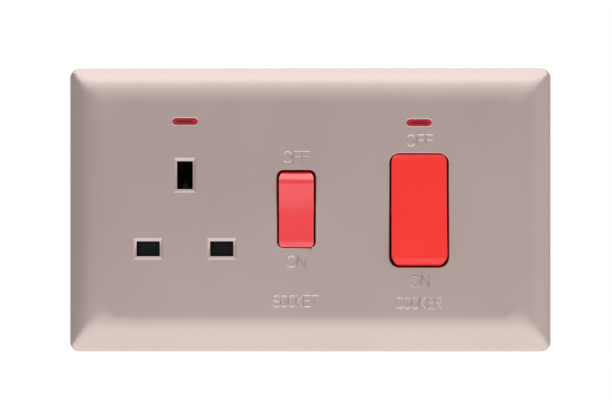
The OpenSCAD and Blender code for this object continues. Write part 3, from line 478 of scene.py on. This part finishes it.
# each plain capital on a cell one unit high: the cell's width, and its strokes
capitals = {
    "O": (0.78, [arcPoints(0.39, 0.5, 0.39, 0.5, 0, 360, 28)]),
    "F": (0.56, [[(0, 0), (0, 1), (0.56, 1)], [(0, 0.53), (0.5, 0.53)]]),
    "N": (0.68, [[(0, 0), (0, 1), (0.68, 0), (0.68, 1)]]),
    "S": (0.58, [arcPoints(0.29, 0.74, 0.27, 0.26, 30, 270)
                 + arcPoints(0.29, 0.24, 0.29, 0.24, 90, -150)]),
    "C": (0.68, [arcPoints(0.39, 0.5, 0.39, 0.5, 45, 315, 22)]),
    "K": (0.62, [[(0, 0), (0, 1)], [(0.6, 1), (0, 0.4)], [(0.2, 0.6), (0.62, 0)]]),
    "E": (0.54, [[(0.54, 0), (0, 0), (0, 1), (0.54, 1)], [(0, 0.53), (0.48, 0.53)]]),
    "T": (0.64, [[(0, 1), (0.64, 1)], [(0.32, 1), (0.32, 0)]]),
    "R": (0.60, [[(0, 0), (0, 1), (0.34, 1)] + arcPoints(0.34, 0.75, 0.24, 0.25, 90, -90)
                 + [(0, 0.5)], [(0.3, 0.5), (0.6, 0)]]),
}


# a letter made narrower, where it is wider than a long word has room for
def squeezed(cell, widest):
    width, strokes = cell
    share = min(1.0, widest / width)
    return width * share, [[(u * share, v) for u, v in stroke] for stroke in strokes]


# rings of a raised stroke with sloping sides and ends, as (x, z, height) points in mm
def strokeRings(points):
    look = legendLook
    points = [point for index, point in enumerate(points)
              if not index or math.dist(point, points[index - 1]) > look["samePlace"]]
    closed = math.dist(points[0], points[-1]) < look["samePlace"]
    rings = []
    for index, (px, pz) in enumerate(points):
        before = points[index - 1] if index else (points[-2] if closed else None)
        after = points[index + 1] if index < len(points) - 1 else (points[1] if closed else None)
        steps = [Vector((px - before[0], pz - before[1])).normalized()] if before else []
        steps += [Vector((after[0] - px, after[1] - pz)).normalized()] if after else []
        along = sum(steps, Vector((0, 0))).normalized()
        spread = 1 / max(look["leastSpread"], along.dot(steps[0]))
        across = Vector((-along.y, along.x)) * spread
        ring = [(px + across.x * side, pz + across.y * side, height)
                for side, height in ((-look["foot"], -look["sink"]), (-look["crown"], look["rise"]),
                                     (look["crown"], look["rise"]), (look["foot"], -look["sink"]))]
        reach = look["foot"] * (-1 if before is None else 1)
        low = [(qx + along.x * reach, qz + along.y * reach, -look["sink"]) for qx, qz, height in ring]
        if before is None:
            rings.append(low)
        rings.append(ring)
        if after is None:
            rings.append(low)
    return rings


# one word on the cover, its letters spread evenly over the width
def raiseLegend(word, x, z, width, index):
    look = legendLook
    cells = [capitals[letter] for letter in word]
    if len(word) >= look["longWord"]:
        cells = [squeezed(cell, look["narrow"]) for cell in cells]
    plain = sum(cell[0] for cell in cells) * look["height"]
    gap = (width - plain) / (len(word) - 1)
    left = x - width / 2
    corners, faces = [], []
    for cellWidth, strokes in cells:
        for stroke in strokes:
            points = [(left + u * look["height"], z + (v - 0.5) * look["height"]) for u, v in stroke]
            rings = strokeRings(points)
            row = len(rings[0])       # corners of one ring
            first = len(corners)
            corners += [(px * mm, (look["faceY"] - height) * mm, pz * mm)
                        for ring in rings for px, pz, height in ring]
            for step in range(len(rings) - 1):
                at = first + row * step
                faces += [(at + k, at + row + k, at + row + k + 1, at + k + 1) for k in range(row - 1)]
        left += cellWidth * look["height"] + gap
    mesh = bpy.data.meshes.new("legend")
    mesh.from_pydata(corners, [], faces)
    mesh.materials.append(madeFinishes["legend"])
    piece = bpy.data.objects.new("legend_" + word.lower() + "_" + str(index), mesh)
    bpy.context.scene.collection.objects.link(piece)
    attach(piece, "cover")


for index, (word, x, z, width) in enumerate(legendLook["places"]):
    raiseLegend(word, x, z, width, index + 1)
print("legends raised")

# places and sizes in metres
studioLook = {
    "floorZ": -0.16,
    "floorHalf": 6.0,
    "ambient": 0.62,          # world's level for light that scatters off the object
    "paper": 0.62,            # the floor's grey
    "paperLift": 0.45,        # white that is added where the floor is seen
    "fadeFrom": 0.35,         # distances at which the floor fades to white
    "fadeTo": 1.1,
    "paperRoughness": 0.9,
    "filmWidth": 36,          # of the camera, in mm
    "cameraDistance": 0.60,
    "viewWidth": 0.1844,      # width of the view at the plate's face
    "cameraX": -0.00133,
    "cameraZ": 0.00182,
    "coolTint": (0.94, 1.0, 1.02),
    "card": [(-0.55, -0.32, -0.14), (-0.55, 0.20, -0.14), (-0.55, 0.20, 0.35), (-0.55, -0.32, 0.35)],
    "cardGrey": 0.6,
    "softBoxes": [            # name, centre, aim, width, depth, level
        ("overheadFar", (0.0, -0.935, 0.50), (0.0, -0.935, 0.0), 1.4, 0.87, 0.45),
        ("overheadNear", (0.0, -0.34, 0.50), (0.0, -0.34, 0.0), 1.4, 0.32, 1.15),
        ("overheadBack", (0.0, 0.055, 0.50), (0.0, 0.055, 0.0), 1.4, 0.47, 1.90),
        ("overheadStrip", (0.0, -0.19, 0.49), (0.0, -0.19, 0.0), 1.4, 0.06, 2.10),
        ("underFar", (0.0, -0.40, -0.15), (0.0, -0.40, 0.0), 0.9, 0.30, 0.35),
        ("underNear", (0.0, -0.08, -0.15), (0.0, -0.08, 0.0), 0.9, 0.34, 1.05),
        ("underStrip", (0.0, -0.20, -0.075), (0.0, -0.20, 0.0), 0.5, 0.20, 0.30),
        ("front", (0.30, -1.45, -0.05), (0.0, 0.0, 0.0), 1.5, 0.9, 0.12),
        ("right", (0.60, -0.15, 0.0), (0.0, 0.0, 0.0), 0.5, 0.5, 0.34)],
}


# white background wherever it is seen, and a softer level for scattered light
def makeWorld():
    world = bpy.data.worlds.new("studio")
    bpy.context.scene.world = world
    world.use_nodes = True
    tree = world.node_tree
    light = tree.nodes["Background"]
    light.inputs["Color"].default_value = (1, 1, 1, 1)
    tree.links.new(whiteBackdrop(tree, studioLook["ambient"]), light.inputs["Strength"])


# one where the camera looks straight, by a mirror or through glass, and the other level elsewhere
def whiteBackdrop(tree, otherwise):
    rays = tree.nodes.new("ShaderNodeLightPath")
    seen = tree.nodes.new("ShaderNodeMath")
    seen.operation = "MAXIMUM"
    through = tree.nodes.new("ShaderNodeMath")
    through.operation = "MAXIMUM"
    level = tree.nodes.new("ShaderNodeMix")
    level.inputs["A"].default_value = otherwise
    level.inputs["B"].default_value = 1.0
    linkNodes(tree, [
        (rays.outputs["Is Camera Ray"], seen.inputs[0]),
        (rays.outputs["Is Glossy Ray"], seen.inputs[1]),
        (seen.outputs["Value"], through.inputs[0]),
        (rays.outputs["Is Transmission Ray"], through.inputs[1]),
        (through.outputs["Value"], level.inputs["Factor"])])
    return level.outputs["Result"]


# pale paper that keeps the object's shadow and fades to the white of the background
def makeFloor():
    mesh = bpy.data.meshes.new("floor")
    half = studioLook["floorHalf"]
    z = studioLook["floorZ"]
    corners = [(-half, -half, z), (half, -half, z), (half, half, z), (-half, half, z)]
    mesh.from_pydata(corners, [], [(0, 1, 2, 3)])
    floor = bpy.data.objects.new("floor", mesh)
    bpy.context.scene.collection.objects.link(floor)
    paper = bpy.data.materials.new("floorPaper")
    paper.use_nodes = True
    tree = paper.node_tree
    shader = tree.nodes["Principled BSDF"]
    output = tree.nodes["Material Output"]
    grey = studioLook["paper"]
    shader.inputs["Base Color"].default_value = (grey, grey, grey, 1)
    shader.inputs["Roughness"].default_value = studioLook["paperRoughness"]
    shader.inputs["Emission Color"].default_value = (1, 1, 1, 1)
    seen = whiteBackdrop(tree, 0.0)
    lift = tree.nodes.new("ShaderNodeMath")
    lift.operation = "MULTIPLY"
    lift.inputs[1].default_value = studioLook["paperLift"]
    place = tree.nodes.new("ShaderNodeTexCoord")
    far = tree.nodes.new("ShaderNodeVectorMath")
    far.operation = "LENGTH"
    fade = tree.nodes.new("ShaderNodeMapRange")
    fade.interpolation_type = "SMOOTHSTEP"
    fade.inputs["From Min"].default_value = studioLook["fadeFrom"]
    fade.inputs["From Max"].default_value = studioLook["fadeTo"]
    share = tree.nodes.new("ShaderNodeMath")
    share.operation = "MULTIPLY"
    white = tree.nodes.new("ShaderNodeEmission")
    blend = tree.nodes.new("ShaderNodeMixShader")
    linkNodes(tree, [
        (seen, lift.inputs[0]),
        (lift.outputs["Value"], shader.inputs["Emission Strength"]),
        (place.outputs["Object"], far.inputs[0]),
        (far.outputs["Value"], fade.inputs["Value"]),
        (fade.outputs["Result"], share.inputs[0]),
        (seen, share.inputs[1]),
        (share.outputs["Value"], blend.inputs["Fac"]),
        (shader.outputs["BSDF"], blend.inputs[1]),
        (white.outputs["Emission"], blend.inputs[2]),
        (blend.outputs["Shader"], output.inputs["Surface"])])
    mesh.materials.append(paper)


# area lamp that lights evenly towards its aim
def makeSoftBox(name, centre, aim, width, depth, level):
    lamp = bpy.data.lights.new(name, "AREA")
    lamp.shape = "RECTANGLE"
    lamp.size = width
    lamp.size_y = depth
    lamp.energy = level * math.pi * width * depth
    lamp.color = studioLook["coolTint"]
    holder = bpy.data.objects.new(name, lamp)
    holder.location = centre
    holder.rotation_mode = "QUATERNION"
    holder.rotation_quaternion = (Vector(aim) - holder.location).to_track_quat("-Z", "Y")
    bpy.context.scene.collection.objects.link(holder)


# grey card to the left of the object that darkens what its border mirrors
def makeCard():
    mesh = bpy.data.meshes.new("leftCard")
    mesh.from_pydata(studioLook["card"], [], [(0, 1, 2, 3)])
    card = bpy.data.objects.new("leftCard", mesh)
    bpy.context.scene.collection.objects.link(card)
    surface = bpy.data.materials.new("leftCard")
    surface.use_nodes = True
    shader = surface.node_tree.nodes["Principled BSDF"]
    grey = studioLook["cardGrey"]
    shader.inputs["Base Color"].default_value = (grey, grey, grey, 1)
    shader.inputs["Roughness"].default_value = studioLook["paperRoughness"]
    mesh.materials.append(surface)


def makeCamera():
    look = studioLook
    camera = bpy.data.objects.new("camera", bpy.data.cameras.new("camera"))
    camera.data.sensor_width = look["filmWidth"]
    camera.data.lens = look["filmWidth"] * look["cameraDistance"] / look["viewWidth"]
    camera.location = (look["cameraX"], legendLook["faceY"] * mm - look["cameraDistance"], look["cameraZ"])
    camera.rotation_euler = (math.radians(90), 0, 0)
    camera.data.clip_start = 0.01
    bpy.context.scene.collection.objects.link(camera)
    bpy.context.scene.camera = camera


makeWorld()
makeFloor()
for softBox in studioLook["softBoxes"]:
    makeSoftBox(*softBox)
makeCard()
makeCamera()
bpy.context.scene.view_settings.view_transform = "Standard"
print("studio set")
